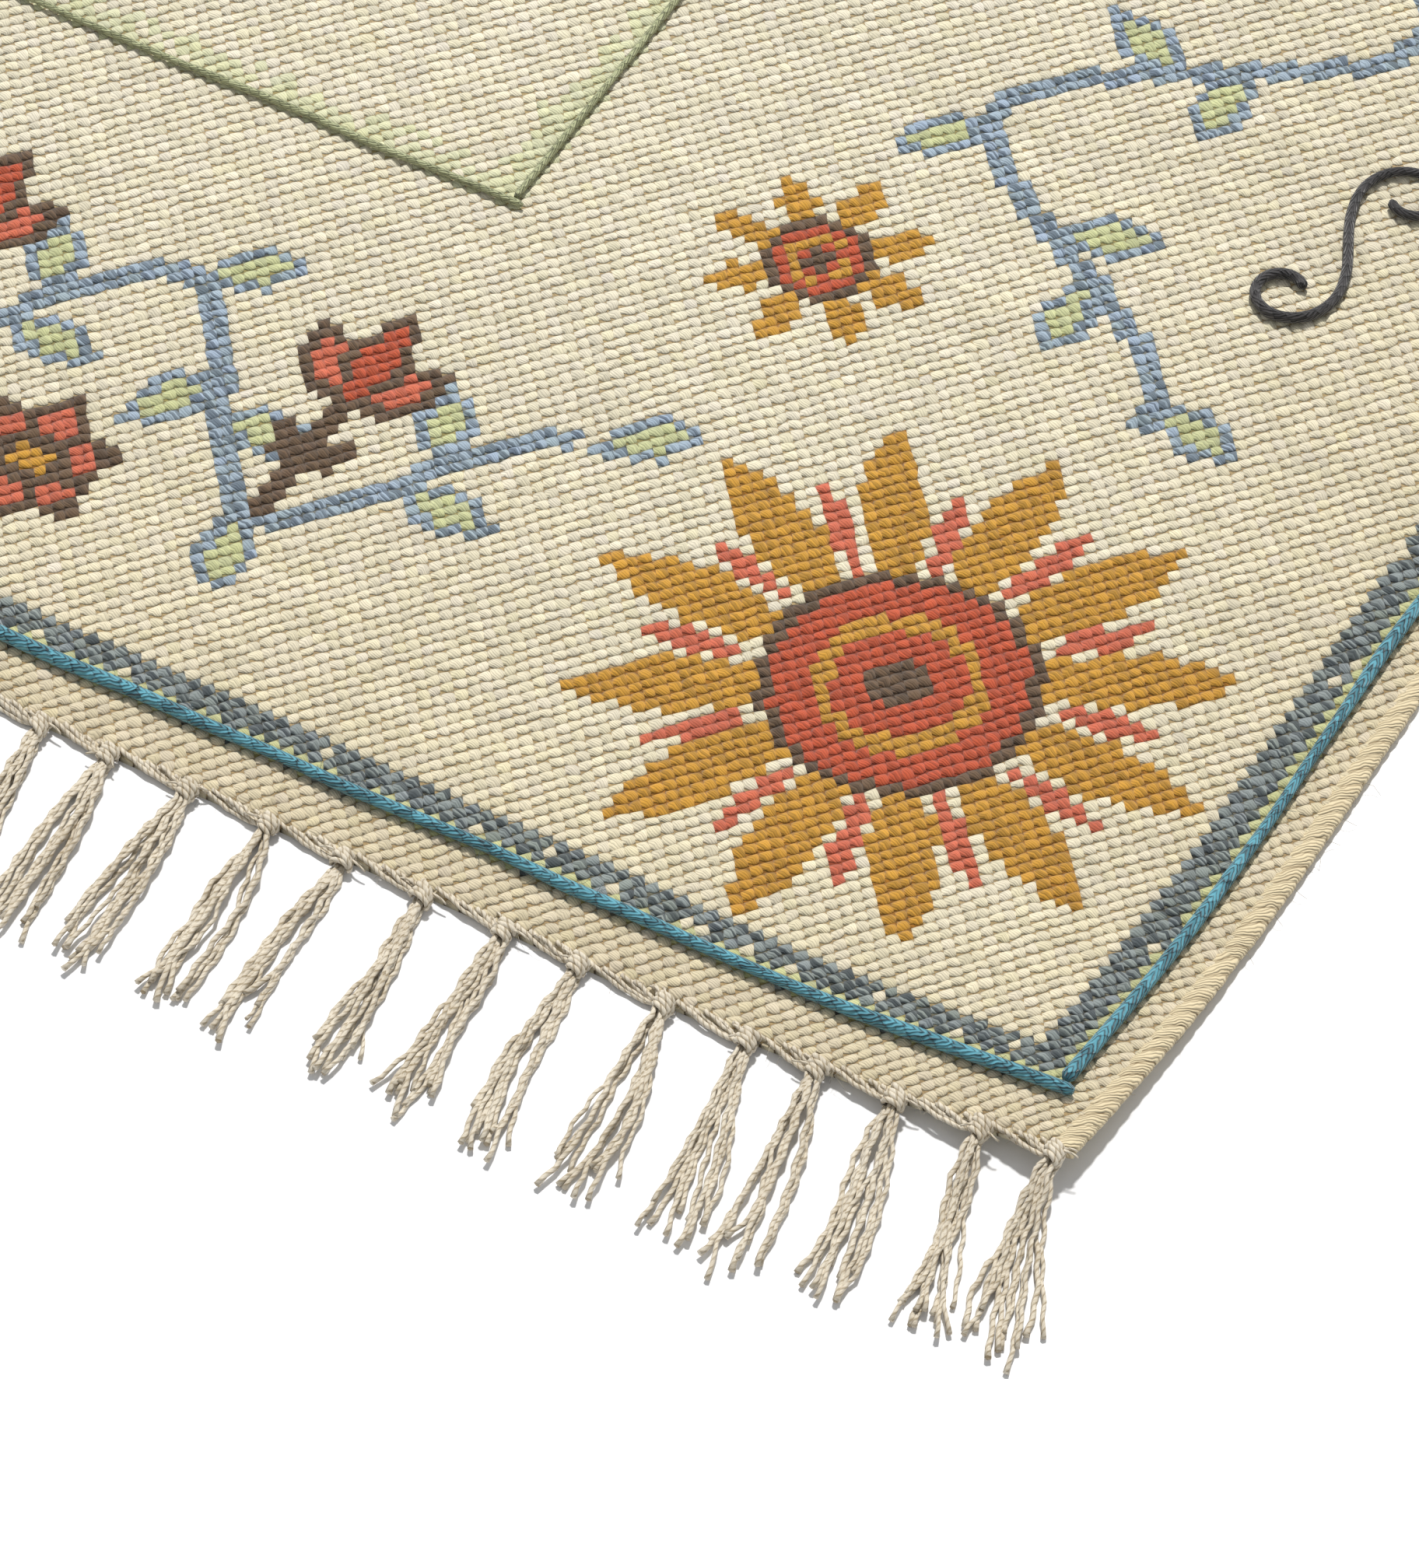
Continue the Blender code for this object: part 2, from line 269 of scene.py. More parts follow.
def make_mesh(name, points, faces, uvs=None, material=None):
    """An object from points and lists of faces. uvs holds one pair for each face corner in turn."""
    mesh = bpy.data.meshes.new(name)
    points = np.asarray(points, np.float32).reshape(-1, 3)
    mesh.vertices.add(len(points))
    mesh.vertices.foreach_set("co", points.ravel())
    counts = np.concatenate([np.full(len(f), f.shape[1]) for f in faces])
    corners = np.concatenate([f.ravel() for f in faces])
    mesh.loops.add(len(corners))
    mesh.loops.foreach_set("vertex_index", corners.astype(np.int32))
    mesh.polygons.add(len(counts))
    starts = np.concatenate([[0], np.cumsum(counts)[:-1]])
    mesh.polygons.foreach_set("loop_start", starts.astype(np.int32))
    mesh.update(calc_edges=True)
    mesh.polygons.foreach_set("use_smooth", np.ones(len(counts), bool))
    if uvs is not None:
        layer = mesh.uv_layers.new(name="Yarn")
        values = np.concatenate([u.reshape(-1, 2) for u in uvs]).astype(np.float32)
        layer.data.foreach_set("uv", values.ravel())
    obj = bpy.data.objects.new(name, mesh)
    bpy.context.scene.collection.objects.link(obj)
    if material is not None:
        mesh.materials.append(material)
    return obj


def tube_faces(count, rings, sides):
    """Quads between the rings of several tubes, and fans that close their ends."""
    t, k, m = np.meshgrid(np.arange(count), np.arange(rings - 1), np.arange(sides), indexing="ij")
    here = t * rings * sides + k * sides
    nxt = (m + 1) % sides
    quads = np.stack([here + m, here + nxt, here + sides + nxt, here + sides + m], -1).reshape(-1, 4)
    first = np.arange(count)[:, None] * rings * sides
    near = first + np.arange(sides)[::-1]
    far = first + (rings - 1) * sides + np.arange(sides)
    return quads, near, far


def make_tubes(name, paths, radii, sides, plies, pitch, relief, material, phase=None):
    """Plied tubes along several paths of as many points each. Their UV map counts plies round the tube,
    turned by the twist, and millimetres along it."""
    paths = np.asarray(paths, float)
    count, rings = paths.shape[:2]
    tangent = np.gradient(paths, axis=1)
    tangent /= np.linalg.norm(tangent, axis=2, keepdims=True)
    side = np.cross(tangent, (0.0, 0.0, 1.0))
    side /= np.linalg.norm(side, axis=2, keepdims=True)
    up = np.cross(side, tangent)
    steps = np.linalg.norm(np.diff(paths, axis=1), axis=2)
    along = np.concatenate([np.zeros((count, 1)), np.cumsum(steps, 1)], 1)
    phase = np.zeros(count) if phase is None else phase
    angle = math.tau * np.arange(sides) / sides
    ply = plies * (np.arange(sides + 1) / sides)[None, None] + (along / pitch * plies)[..., None]
    ply = ply + phase[:, None, None]
    ridge = abs(np.cos(math.pi * ply[..., :sides]))
    radius = np.asarray(radii)[..., None] * (1 - relief + relief * ridge)
    ring = np.cos(angle)[:, None] * side[:, :, None] + np.sin(angle)[:, None] * up[:, :, None]
    points = paths[:, :, None] + radius[..., None] * ring
    quads, near, far = tube_faces(count, rings, sides)
    length = np.broadcast_to((along / MM)[..., None], ply.shape)
    both = np.stack([ply, length], -1)
    corners = np.stack([both[:, :-1, :-1], both[:, :-1, 1:], both[:, 1:, 1:], both[:, 1:, :-1]], -2)
    ends = [np.repeat(both[:, :1, :1], sides, 2), np.repeat(both[:, -1:, :1], sides, 2)]
    return make_mesh(name, points, [quads, near, far], [corners, *ends], material)


def path_frame(x, y, radius):
    """Middles of a cord of that radius lying on the face at points of the flat cloth."""
    moved_x, moved_y, height = settle(x, y)
    return np.stack([moved_x, moved_y, height + THICKNESS + CORD_SEAT + radius], -1)


# Materials


class Material:
    """A yarn or cloth material whose nodes are added one call at a time."""

    def __init__(self, name, roughness=0.9, sheen=0.0):
        self.material = bpy.data.materials.new(name)
        self.material.use_nodes = True
        self.tree = self.material.node_tree
        self.shader = self.tree.nodes["Principled BSDF"]
        self.shader.inputs["Roughness"].default_value = roughness
        self.shader.inputs["Sheen Weight"].default_value = sheen
        self.shader.inputs["Sheen Roughness"].default_value = 0.6
        self.shader.inputs["Specular IOR Level"].default_value = 0.18

    def put(self, socket, value):
        """Sets a socket to a value, or links another node's output to it."""
        if isinstance(value, bpy.types.NodeSocket):
            self.tree.links.new(value, socket)
        else:
            socket.default_value = value

    def math(self, operation, *values):
        node = self.tree.nodes.new("ShaderNodeMath")
        node.operation = operation
        for socket, value in zip(node.inputs, values):
            self.put(socket, value)
        return node.outputs[0]

    def ramp(self, value, low, high, start=0.0, stop=1.0):
        """Maps a value from low..high smoothly to start..stop."""
        node = self.tree.nodes.new("ShaderNodeMapRange")
        node.interpolation_type = "SMOOTHSTEP"
        for key, what in (("Value", value), ("From Min", low), ("From Max", high)):
            self.put(node.inputs[key], what)
        self.put(node.inputs["To Min"], start)
        self.put(node.inputs["To Max"], stop)
        return node.outputs[0]

    def vector(self, x, y, z=0.0):
        node = self.tree.nodes.new("ShaderNodeCombineXYZ")
        for socket, value in zip(node.inputs, (x, y, z)):
            self.put(socket, value)
        return node.outputs[0]

    def yarn_map(self):
        """The two coordinates of the piece's own UV map."""
        node = self.tree.nodes.new("ShaderNodeUVMap")
        node.uv_map = "Yarn"
        parts = self.tree.nodes.new("ShaderNodeSeparateXYZ")
        self.tree.links.new(node.outputs[0], parts.inputs[0])
        return parts.outputs[0], parts.outputs[1]

    def place(self):
        """The point's place on the object in metres."""
        return self.tree.nodes.new("ShaderNodeTexCoord").outputs["Object"]

    def noise(self, vector, scale, detail=2.0, spread=0.5):
        node = self.tree.nodes.new("ShaderNodeTexNoise")
        self.put(node.inputs["Vector"], vector)
        self.put(node.inputs["Scale"], scale)
        self.put(node.inputs["Detail"], detail)
        self.put(node.inputs["Roughness"], spread)
        return node.outputs[0]

    def stitch_place(self):
        """Which stitch of the lattice this is, and the place in it along its two diagonals."""
        u, v = self.yarn_map()
        p = self.math("MULTIPLY", self.math("ADD", u, v), 0.5)
        q = self.math("MULTIPLY", self.math("SUBTRACT", u, v), 0.5)
        p_home, q_home = self.math("ROUND", p), self.math("ROUND", q)
        return p_home, q_home, self.math("SUBTRACT", p, p_home), self.math("SUBTRACT", q, q_home)

    def stitch_dome(self, dp, dq):
        """How high a stitch bulges: its neighbours along one diagonal nearly merge with it."""
        rim = self.math("MULTIPLY", self.math("MULTIPLY", dp, dp), 4 * DOME_ALONG)
        rim = self.math("ADD", rim, self.math("MULTIPLY", self.math("MULTIPLY", dq, dq), 4 * DOME_ACROSS))
        rim = self.math("SUBTRACT", rim, self.math("MULTIPLY", self.math("MULTIPLY", dp, dq), 4 * DOME_TURN))
        return self.math("SQRT", self.math("MAXIMUM", self.math("SUBTRACT", 1.0, rim), 0.0))

    def random(self, vector, output="Value"):
        """A fixed random value from 0 to 1 for each vector."""
        node = self.tree.nodes.new("ShaderNodeTexWhiteNoise")
        node.noise_dimensions = "3D"
        self.put(node.inputs["Vector"], vector)
        return node.outputs[output]

    def parts(self, vector):
        node = self.tree.nodes.new("ShaderNodeSeparateXYZ")
        self.put(node.inputs[0], vector)
        return node.outputs

    def scaled(self, vector, factors):
        """The vector with each part multiplied by its own factor."""
        node = self.tree.nodes.new("ShaderNodeVectorMath")
        node.operation = "MULTIPLY"
        self.put(node.inputs[0], vector)
        self.put(node.inputs[1], factors)
        return node.outputs[0]

    def mix(self, factor, first, second, blend="MIX"):
        node = self.tree.nodes.new("ShaderNodeMix")
        node.data_type = "RGBA"
        node.blend_type = blend
        self.put(node.inputs[0], factor)
        for socket, value in ((node.inputs[6], first), (node.inputs[7], second)):
            self.put(socket, value)
        return node.outputs[2]

    def attribute(self, name):
        """The colour and the fourth value of a mesh attribute."""
        node = self.tree.nodes.new("ShaderNodeAttribute")
        node.attribute_name = name
        return node.outputs["Color"], node.outputs["Alpha"]

    def finish(self, colour, height, distance):
        """Links the colour and the bump, and returns the material."""
        bump = self.tree.nodes.new("ShaderNodeBump")
        bump.inputs["Strength"].default_value = 1.0
        bump.inputs["Distance"].default_value = distance
        self.put(bump.inputs["Height"], height)
        self.tree.links.new(bump.outputs[0], self.shader.inputs["Normal"])
        self.put(self.shader.inputs["Base Color"], colour)
        return self.material


def woven_material():
    """Rounded bundles of weft strands, with painted shade in the gaps where they dive between their
    neighbours and in the grooves between their strands.
    """
    m = Material("woven_cotton", roughness=0.93, sheen=0.22)
    p_home, q_home, dp, dq = m.stitch_place()
    first, second, third = m.parts(m.random(m.vector(p_home, q_home, 0.5), "Color"))
    dome = m.stitch_dome(
        m.math("ADD", dp, m.math("MULTIPLY", m.math("SUBTRACT", first, 0.5), 0.20)),
        m.math("ADD", dq, m.math("MULTIPLY", m.math("SUBTRACT", second, 0.5), 0.16)),
    )
    dx = m.math("MULTIPLY", m.math("ADD", dp, dq), COLUMN / MM)
    dy = m.math("MULTIPLY", m.math("SUBTRACT", dp, dq), ROW / MM)
    bend = m.math("POWER", m.math("ABSOLUTE", m.math("DIVIDE", dx, COLUMN / MM)), 2.0)
    place = m.place()
    across = m.math("ADD", dy, m.math("MULTIPLY", dx, STRAND_SLOPE))
    spread = m.math("SUBTRACT", 1.0, m.math("MULTIPLY", bend, 0.25))
    across = m.math("DIVIDE", across, m.math("MULTIPLY", spread, STRAND_PITCH))
    wobble = m.math("MULTIPLY", m.noise(place, 260.0, 1.0), 1.2)
    strand = m.math("ADD", across, m.math("ADD", wobble, third))
    ridge = m.math("ABSOLUTE", m.math("COSINE", m.math("MULTIPLY", strand, math.pi)))
    tone = m.random(m.vector(p_home, q_home, m.math("ROUND", strand)))
    fibre = m.noise(m.scaled(place, (700.0, 2800.0, 1500.0)), 1.0, 2.0, 0.6)
    patch = m.noise(m.scaled(place, (9.0, 26.0, 9.0)), 1.0, 3.0, 0.6)
    colour, mottle = m.attribute("Stitch")
    dark = m.mix(1.0, colour, (0.16, 0.18, 0.21, 1.0), "MULTIPLY")
    amount = m.math("MULTIPLY", m.ramp(tone, 0.40, 0.78), mottle)
    colour = m.mix(amount, colour, dark)
    tone_and_groove_shade = m.math("ADD", m.math("MULTIPLY", second, 0.10), 0.93)
    # Painted shade in the grooves between strands; the other factors are each stitch's own tone and the
    # yarn's patches and fibres.
    tone_and_groove_shade = m.math("MULTIPLY", tone_and_groove_shade, m.ramp(ridge, 0.0, 0.75, 0.78, 1.02))
    tone_and_groove_shade = m.math("MULTIPLY", tone_and_groove_shade, m.math("ADD", m.math("MULTIPLY", fibre, 0.30), 0.86))
    tone_and_groove_shade = m.math("MULTIPLY", tone_and_groove_shade, m.math("ADD", m.math("MULTIPLY", patch, 0.16), 0.92))
    colour = m.mix(1.0, colour, m.vector(tone_and_groove_shade, tone_and_groove_shade, tone_and_groove_shade), "MULTIPLY")
    # Painted shade: each stitch darker and browner where its dome falls off into the gaps between stitches.
    gap_shade = m.mix(1.0, colour, (0.54, 0.44, 0.31, 1.0), "MULTIPLY")
    colour = m.mix(m.ramp(dome, 0.50, 0.0), colour, gap_shade)
    height = m.math("ADD", m.math("MULTIPLY", ridge, 0.12), m.math("MULTIPLY", fibre, 0.06))
    height = m.math("ADD", m.math("MULTIPLY", height, dome), dome)
    return m.finish(colour, height, STITCH_RISE)


def plied_material(name, light, dark, streak, sheen, relief):
    """A plied yarn: darker between its plies, which is painted shade, and streaked along its fibres."""
    m = Material(name, roughness=0.88, sheen=sheen)
    ply, along = m.yarn_map()
    ridge = m.math("ABSOLUTE", m.math("COSINE", m.math("MULTIPLY", ply, math.pi)))
    grain = m.noise(m.vector(m.math("MULTIPLY", ply, 9.0), m.math("MULTIPLY", along, 0.28)), 1.0, 3.0, 0.65)
    slub = m.noise(m.place(), 60.0, 2.0)
    # Painted shade between the plies, mixed with the yarn's own slubs and streaks.
    level = m.math("ADD", m.math("MULTIPLY", m.ramp(ridge, 0.0, 0.75), 0.40), m.math("MULTIPLY", slub, 0.45))
    level = m.math("ADD", level, m.math("MULTIPLY", m.math("SUBTRACT", grain, 0.5), streak))
    colour = m.mix(m.ramp(level, 0.05, 0.95), (*linear(dark), 1.0), (*linear(light), 1.0))
    height = m.math("ADD", m.math("MULTIPLY", ridge, 0.6), m.math("MULTIPLY", grain, 0.8))
    return m.finish(colour, height, relief)


def wrapped_material(name, light, dark):
    """The overcast side: turns of many fine strands, with painted shade between the turns and between the
    strands.
    """
    m = Material(name, roughness=0.92, sheen=0.1)
    ply, around = m.yarn_map()
    turn = m.math("ABSOLUTE", m.math("COSINE", m.math("MULTIPLY", ply, math.pi)))
    waver = m.math("MULTIPLY", m.noise(m.place(), 240.0, 1.0), 2.1)
    strand = m.math("ADD", m.math("MULTIPLY", ply, BEAD_STRANDS), waver)
    ridge = m.math("ABSOLUTE", m.math("COSINE", m.math("MULTIPLY", strand, math.pi)))
    tone = m.random(m.vector(m.math("ROUND", strand), 0.0))
    grain = m.noise(m.vector(m.math("MULTIPLY", ply, 40.0), m.math("MULTIPLY", around, 0.5)), 1.0, 3.0, 0.65)
    # Painted shade between the strands and between the turns, mixed with each strand's own tone at random.
    level = m.math("ADD", m.math("MULTIPLY", m.ramp(ridge, 0.0, 0.8), 0.40), m.math("MULTIPLY", tone, 0.30))
    level = m.math("ADD", level, m.math("MULTIPLY", m.ramp(turn, 0.0, 0.35), 0.36))
    level = m.math("ADD", level, m.math("MULTIPLY", m.math("SUBTRACT", grain, 0.5), 0.5))
    colour = m.mix(m.ramp(level, 0.0, 1.0), (*linear(dark), 1.0), (*linear(light), 1.0))
    height = m.math("ADD", m.math("MULTIPLY", m.math("SQRT", turn), 0.75), m.math("MULTIPLY", ridge, 0.36))
    return m.finish(colour, height, 1.0 * MM)


def chained_material(name, light, dark, sheen, link, relief):
    """A chained cord: overlapping links of fine strands that slant from its top to its sides, with painted
    shade between strands and links.
    """
    m = Material(name, roughness=0.88, sheen=sheen)
    turn, along = m.yarn_map()
    fold = m.math("PINGPONG", m.math("SUBTRACT", turn, 0.25), 0.5)
    waver = m.noise(m.place(), 170.0, 2.0)
    links = m.math("SUBTRACT", m.math("DIVIDE", along, link), m.math("MULTIPLY", fold, 1.8))
    links = m.math("ADD", links, m.math("MULTIPLY", waver, 0.7))
    bulge = m.math("ABSOLUTE", m.math("COSINE", m.math("MULTIPLY", links, math.pi)))
    strand = m.math("ADD", m.math("MULTIPLY", fold, 10.0), m.math("MULTIPLY", along, 0.34))
    strand = m.math("ADD", strand, m.math("MULTIPLY", waver, 2.2))
    ridge = m.math("ABSOLUTE", m.math("COSINE", m.math("MULTIPLY", strand, math.pi)))
    tone = m.random(m.vector(m.math("ROUND", strand), m.math("ROUND", links)))
    # Painted shade in the grooves between strands and between links, mixed with each strand's own tone at
    # random.
    level = m.math("ADD", m.math("MULTIPLY", m.ramp(ridge, 0.0, 0.8), 0.38), m.math("MULTIPLY", tone, 0.44))
    level = m.math("ADD", level, m.math("MULTIPLY", m.ramp(bulge, 0.0, 0.4), 0.18))
    colour = m.mix(m.ramp(level, 0.2, 0.95), (*linear(dark), 1.0), (*linear(light), 1.0))
    height = m.math("ADD", m.math("MULTIPLY", m.math("SQRT", bulge), 0.6), m.math("MULTIPLY", ridge, 0.55))
    return m.finish(colour, height, relief)


def underside_material():
    """The back of the weave, plain cream with the stitches' relief and painted shade in the gaps between
    stitches.
    """
    m = Material("woven_back", roughness=0.94, sheen=0.1)
    p_home, q_home, dp, dq = m.stitch_place()
    dome = m.stitch_dome(dp, dq)
    tone = m.random(m.vector(p_home, q_home))
    light, dark = (*linear((226, 216, 186)), 1.0), (*linear((120, 100, 72)), 1.0)
    # Painted shade: darker in the gaps where the dome falls off; each stitch also differs a little in tone
    # at random.
    level = m.math("SUBTRACT", m.ramp(dome, 0.1, 0.7), m.math("MULTIPLY", tone, 0.12))
    return m.finish(m.mix(level, dark, light), dome, STITCH_RISE)


# The woven design


def lens(a, b, middle, heading, length, width):
    """Below 1 inside a pointed leaf shape of that length and width, lying along a heading."""
    cosine, sine = math.cos(heading), math.sin(heading)
    u = (a - middle[0]) * cosine + (b - middle[1]) * sine
    v = (b - middle[1]) * cosine - (a - middle[0]) * sine
    return abs(v) / (width / 2) + (2 * u / length) ** 2


def paint_leaf(yarn, a, b, foot, heading, length, width, edge, inside):
    """Paints an outlined leaf that grows from its foot along a heading."""
    middle = (foot[0] + math.cos(heading) * length / 2, foot[1] + math.sin(heading) * length / 2)
    yarn[lens(a, b, middle, heading, length, width) < 1] = YARN_NAMES.index(edge)
    inner = lens(a, b, middle, heading, length - 2.4 * OUTLINE, width - 1.7 * OUTLINE)
    yarn[inner < 1] = YARN_NAMES.index(inside)


def paint_vine(yarn, a, b, along_a, vine):
    """Paints a waving stem with leaves on both sides. along_a says which way it runs."""
    run, across = (a, b) if along_a else (b, a)
    turn = math.tau / vine["period"]
    wave = vine["middle"] + vine["swing"] * np.cos(turn * (vine["stop"] - run))
    slope = vine["swing"] * turn * np.sin(turn * (vine["stop"] - run))
    on_stem = abs(across - wave) / np.hypot(1, slope) < VINE_HALF_WIDTH
    quarter = vine["period"] / 4
    steps = int(round((vine["stop"] - vine["start"]) / quarter))
    for step in range(steps + 1):
        for side in (-1, 1):
            if step % 2 == 0 and side != (1 if math.cos(step * math.pi / 2) * vine["swing"] > 0 else -1):
                continue
            place = vine["stop"] - (step + (0.12 if side > 0 else -0.12)) * quarter
            height = vine["middle"] + vine["swing"] * math.cos(turn * (vine["stop"] - place))
            climb = vine["swing"] * turn * math.sin(turn * (vine["stop"] - place))
            heading = math.atan2(climb, 1.0) + math.pi + side * math.radians(-58)
            foot = (place, height)
            if not along_a:
                foot, heading = foot[::-1], math.pi / 2 - heading
            paint_leaf(yarn, a, b, foot, heading, LEAF_LENGTH, LEAF_WIDTH, "blue", "green")
    yarn[on_stem & (run > vine["start"]) & (run <= vine["stop"])] = YARN_NAMES.index("blue")


def paint_rosette(yarn, a, b, middle, radius, rays):
    """Paints a daisy: pointed petals with darts between them round an eye of plain rings."""
    out = np.hypot(a - middle[0], b - middle[1])
    around = np.arctan2(b - middle[1], a - middle[0])
    step = math.tau / rays
    for name, root, tip, width, shift, smallest in PETALS:
        if radius < smallest:
            continue
        turned = around - (np.round(around / step - shift) + shift) * step
        length = (tip - root) * radius
        u = out * np.cos(turned) - root * radius - length / 2
        v = out * np.sin(turned)
        petal = abs(v) / (width * radius * step / 2) + (2 * u / length) ** 2
        yarn[petal < 1] = YARN_NAMES.index(name)
    for name, share, extra in EYE_RINGS:
        yarn[out < share * radius + extra] = YARN_NAMES.index(name)


def paint_blossom(yarn, a, b, middle, radius):
    """Paints a small flower of six outlined petals."""
    for k in range(6):
        heading = math.tau * (k + 0.5) / 6
        foot = (middle[0] + 4 * math.cos(heading), middle[1] + 4 * math.sin(heading))
        paint_leaf(yarn, a, b, foot, heading, radius, 0.78 * radius, "brown", "coral")
    yarn[np.hypot(a - middle[0], b - middle[1]) < 0.26 * radius] = YARN_NAMES.index("gold")


def paint_tulip(yarn, a, b, foot, heading, length):
    """Paints a bud of three petals on a straight stalk with two small leaves."""
    forward = (math.cos(heading), math.sin(heading))
    u = (a - foot[0]) * forward[0] + (b - foot[1]) * forward[1]
    v = (b - foot[1]) * forward[0] - (a - foot[0]) * forward[1]
    yarn[(u > -6) & (u < 0.6 * length) & (abs(v) < 2.8)] = YARN_NAMES.index("brown")
    head = (foot[0] + 0.50 * length * forward[0], foot[1] + 0.50 * length * forward[1])
    low = (foot[0] + 0.16 * length * forward[0], foot[1] + 0.16 * length * forward[1])
    for side in (-1, 1):
        paint_leaf(yarn, a, b, head, heading + side * 0.66, 0.44 * length, 0.23 * length, "brown", "coral")
        paint_leaf(yarn, a, b, low, heading + side * 0.62, 0.28 * length, 0.12 * length, "brown", "brown")
    paint_leaf(yarn, a, b, head, heading, 0.50 * length, 0.25 * length, "brown", "red")


def design(x, y, random):
    """The yarn of the stitches at flat places, as numbers into YARN_NAMES."""
    a = (WIDTH / 2 - abs(x)) / MM
    b = (LENGTH / 2 - abs(y)) / MM
    yarn = np.zeros(x.shape, int)
    paint_vine(yarn, a, b, True, END_VINE)
    paint_vine(yarn, a, b, False, SIDE_VINE)
    for foot_a, foot_b, heading, length in TULIPS:
        paint_tulip(yarn, a, b, (foot_a, foot_b), math.radians(heading), length)
    for middle_a, middle_b, radius in BLOSSOMS:
        paint_blossom(yarn, a, b, (middle_a, middle_b), radius)
    for middle_a, middle_b, radius, rays in ROSETTES:
        paint_rosette(yarn, a, b, (middle_a, middle_b), radius, rays)
    inward = np.minimum(a - PANEL["side"] / MM, b - PANEL["end"] / MM)
    fleck = random.random(x.shape) < np.clip(1.1 - abs(inward - 3.0) / 12.0, 0, 0.9)
    yarn[(inward > -2) & fleck] = YARN_NAMES.index("pale")
    for from_side, from_end, name, share in STRIPES:
        inside = (a > from_side) & (b > from_end)
        yarn[~inside & (random.random(x.shape) < share)] = YARN_NAMES.index(name)
    return yarn


# The rug's pieces


def weave_lattice(random):
    """Places of the lattice's points, the colour of the stitch that each carries with painted shade towards
    the edges, and its mottling.
    """
    i, j = np.meshgrid(np.arange(COLUMNS + 1), np.arange(ROWS + 1), indexing="ij")
    flat_x = -WIDTH / 2 + SIDE_MARGIN + i * COLUMN
    flat_y = -LENGTH / 2 + j * ROW
    inner = (i > 0) & (i < COLUMNS) & (j > 0) & (j < ROWS)
    peak = (i + j) % 2 == 0
    x, y, height = settle(flat_x, flat_y)
    sway = 0.35 * MM * np.sin(flat_x * 41 + 3 * np.sin(flat_y * 9)) * inner
    x = x + PLACE_CHANGE * random.normal(size=x.shape) * inner
    y = y + PLACE_CHANGE * random.normal(size=x.shape) * inner + sway
    relief = np.where(peak, PEAK, VALLEY) + PEAK_CHANGE * random.normal(size=x.shape).clip(-2, 1)
    z = height + np.where(inner, THICKNESS + relief - 0.15 * MM, EDGE_HEIGHT)
    yarn = design(flat_x, flat_y, random)
    colours = np.array([linear(YARNS[name][0]) for name in YARN_NAMES])[yarn]
    mottle = np.array([YARNS[name][1] for name in YARN_NAMES])[yarn]
    streak = np.interp(np.arange(ROWS + 1) / 3.0, np.arange(200), random.normal(size=200))
    tone = 1 + 0.018 * streak[None] + 0.035 * random.normal(size=x.shape)
    colours = colours * tone[..., None]
    # Painted shade for the light's falloff: darker and tanner towards the edges
    from_edge = np.minimum(WIDTH / 2 - abs(flat_x), LENGTH / 2 - abs(flat_y))
    colours = colours * (1 - np.exp(-from_edge / EDGE_SHADE_REACH)[..., None] * EDGE_SHADE)
    colours[..., 2] *= 1 + 0.03 * random.normal(size=x.shape)
    return i, j, np.stack([x, y, z], -1), colours, mottle


def build_weave(material):
    """The woven face in lengthwise strips, four triangles to a stitch."""
    random = np.random.default_rng(SEED)
    i, j, points, colours, mottle = weave_lattice(random)
    pieces = []
    edges = np.linspace(0, COLUMNS, STRIPS + 1).round().astype(int)
    for number, (left, right) in enumerate(zip(edges[:-1], edges[1:])):
        count = right - left + 1
        ci, cj = np.meshgrid(np.arange(count - 1), np.arange(ROWS), indexing="ij")
        near = ci * (ROWS + 1) + cj
        a, b, c, d = near, near + ROWS + 1, near + ROWS + 2, near + 1
        even = ((ci + left + cj) % 2 == 0)[..., None]
        first = np.where(even, np.stack([a, b, d], -1), np.stack([b, c, a], -1))
        second = np.where(even, np.stack([c, d, b], -1), np.stack([d, a, c], -1))
        faces = np.concatenate([first.reshape(-1, 3), second.reshape(-1, 3)])
        own = slice(left, right + 1)
        lattice = np.stack([i[own], j[own]], -1).reshape(-1, 2).astype(float)
        piece = make_mesh(f"woven_face_{number + 1}", points[own], [faces], [lattice[faces]], material)
        mesh = piece.data
        stitch = mesh.attributes.new("Stitch", "FLOAT_COLOR", "CORNER")
        tint = np.concatenate([colours[own], mottle[own][..., None]], -1).reshape(-1, 4)
        stitch.data.foreach_set("color", np.repeat(tint[faces[:, 0]], 3, axis=0).astype(np.float32).ravel())
        ends = np.zeros(len(mesh.edges) * 2, np.int32)
        mesh.edges.foreach_get("vertices", ends)
        low = (lattice.sum(1) % 2 == 1)[ends.reshape(-1, 2)].all(1)
        mesh.attributes.new("sharp_edge", "BOOLEAN", "EDGE").data.foreach_set("value", low)
        pieces.append(piece)
    return pieces


